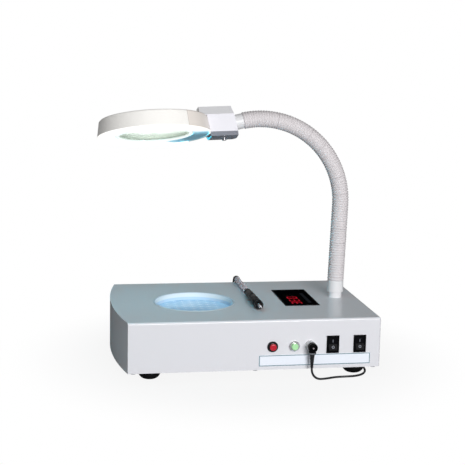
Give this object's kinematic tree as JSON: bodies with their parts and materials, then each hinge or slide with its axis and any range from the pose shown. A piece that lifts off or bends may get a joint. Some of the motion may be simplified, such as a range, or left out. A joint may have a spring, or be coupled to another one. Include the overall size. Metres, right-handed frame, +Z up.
{
  "type": "colony counter",
  "caption": "Bench colony counter: flat lit base with a round dish well, count display and push buttons, a wired counting pen, and a round lamp magnifier on a ribbed gooseneck.",
  "frame": {"origin": "on the bench, at the level of the feet, under the middle of the rectangular part of the base", "axes": "+X to the right towards the gooseneck, +Y from the control panel to the back, +Z up"},
  "size_m": [0.3286, 0.2713, 0.3113],
  "materials": {
    "case_paint": "satin",
    "plate_paint": "satin",
    "head_white": "satin",
    "hose_white": "satin",
    "rubber_black": "matte",
    "screw_steel": "bright",
    "well_white": "gloss",
    "plate_glass": "clear",
    "opal_glass": "frosted",
    "pan_white": "satin",
    "lamp_board": "satin",
    "display_black": "gloss",
    "display_glass": "clear",
    "board_green": "satin",
    "core_steel": "matte",
    "coil_tape": "satin",
    "button_black": "gloss",
    "button_red": "gloss",
    "button_green": "gloss",
    "chrome_trim": "polished",
    "black_plastic": "satin",
    "label_pale": "satin",
    "lens_glass": "clear",
    "lamp_glass": "frosted",
    "cover_opal": "frosted",
    "pen_black": "satin",
    "pen_silver": "satin",
    "pen_clear": "clear",
    "lead_black": "satin"
  },
  "bodies": {
    "base": {"base_lamp": "lamp_board", "base_plate": "plate_paint", "button_nuts": "screw_steel", "case_screws": "screw_steel", "control_board": "board_green", "counting_plate": "plate_glass", "cover": "case_paint", "display_board": "board_green", "display_frame": "display_black", "display_window": "display_glass", "feet": "rubber_black", "green_button_body": "chrome_trim", "hose_1": "hose_white", "hose_bend_1": "hose_white", "label_plate": "label_pale", "lamp_switch_body": "black_plastic", "lead_coil": "lead_black", "lead_front": "lead_black", "lead_rear": "lead_black", "light_pan": "pan_white", "mains_inlet": "black_plastic", "neck_collar": "head_white", "neck_nut": "screw_steel", "neck_sleeve": "hose_white", "opal_plate": "opal_glass", "pen_plug": "black_plastic", "pen_socket": "black_plastic", "plug_boot": "rubber_black", "power_switch_body": "black_plastic", "red_button_body": "button_black", "socket_nut": "chrome_trim", "transformer_core": "core_steel", "transformer_winding": "coil_tape", "well_ring": "well_white"},
    "red_button": {"red_button_cap": "button_red"},
    "green_button": {"green_button_cap": "button_green"},
    "power_switch": {"power_rocker": "black_plastic"},
    "lamp_switch": {"lamp_rocker": "black_plastic"},
    "fuse_carrier": {"fuse_drawer": "black_plastic"},
    "neck_a": {"hose_2": "hose_white", "hose_bend_2": "hose_white"},
    "neck_b": {"hose_3": "hose_white", "hose_bend_3": "hose_white"},
    "neck_c": {"hose_4": "hose_white", "hose_bend_4": "hose_white"},
    "neck_d": {"hose_5": "hose_white", "neck_end_sleeve": "hose_white"},
    "head": {"bracket": "head_white", "clamp_screw": "screw_steel", "head_ring": "head_white", "lens": "lens_glass", "lens_retainer": "head_white", "head_lamp": "lamp_glass", "lamp_cover": "cover_opal"},
    "pen": {"pen_grip": "pen_black", "pen_nose": "pen_silver", "pen_barrel": "pen_clear", "pen_cap": "pen_black"},
    "pen_point": {"pen_tip": "pen_silver"}
  },
  "joints": [
    {"name": "red_button_press", "type": "slide", "parent": "base", "child": "red_button", "axis": [0, 1, 0], "range_m": [0, 0.0025], "stiffness_N_per_m": 300, "springref_m": -0.002},
    {"name": "green_button_press", "type": "slide", "parent": "base", "child": "green_button", "axis": [0, 1, 0], "range_m": [0, 0.0025], "stiffness_N_per_m": 300, "springref_m": -0.002},
    {"name": "power_switch_rock", "type": "hinge", "parent": "base", "child": "power_switch", "pos_m": [0.0915, -0.1021, 0.0399], "axis": [1, 0, 0], "range_deg": [0, 22]},
    {"name": "lamp_switch_rock", "type": "hinge", "parent": "base", "child": "lamp_switch", "pos_m": [0.1242, -0.1021, 0.0399], "axis": [1, 0, 0], "range_deg": [0, 22]},
    {"name": "fuse_drawer_slide", "type": "slide", "parent": "base", "child": "fuse_carrier", "axis": [0, 1, 0], "range_m": [0, 0.016]},
    {"name": "neck_lean", "type": "hinge", "parent": "base", "child": "neck_a", "pos_m": [0.12298, 0.0075, 0.11899], "axis": [1, 0, 0], "range_deg": [-15, 20], "deforming": ["hose_bend_1"]},
    {"name": "neck_bend_low", "type": "hinge", "parent": "neck_a", "child": "neck_b", "pos_m": [0.1246, 0.0075, 0.18097], "axis": [0, 1, 0], "range_deg": [-10, 30], "deforming": ["hose_bend_2"]},
    {"name": "neck_bend_middle", "type": "hinge", "parent": "neck_b", "child": "neck_c", "pos_m": [0.1105, 0.0075, 0.2444], "axis": [0, 1, 0], "range_deg": [-10, 25], "deforming": ["hose_bend_3"]},
    {"name": "neck_bend_high", "type": "hinge", "parent": "neck_c", "child": "neck_d", "pos_m": [0.0618, 0.0075, 0.28729], "axis": [0, 1, 0], "range_deg": [-12, 25], "deforming": ["hose_bend_4"]},
    {"name": "head_swivel", "type": "hinge", "parent": "neck_d", "child": "head", "pos_m": [-0.01289, 0.0075, 0.29074], "axis": [-0.9763, 0, -0.2164], "range_deg": [-60, 60]},
    {"name": "pen_lift", "type": "slide", "parent": "base", "child": "pen", "axis": [0, 0, 1], "range_m": [0, 0.04]},
    {"name": "pen_click", "type": "slide", "parent": "pen", "child": "pen_point", "axis": [0, 1, -0.009], "range_m": [0, 0.001], "stiffness_N_per_m": 400, "springref_m": -0.001}
  ]
}
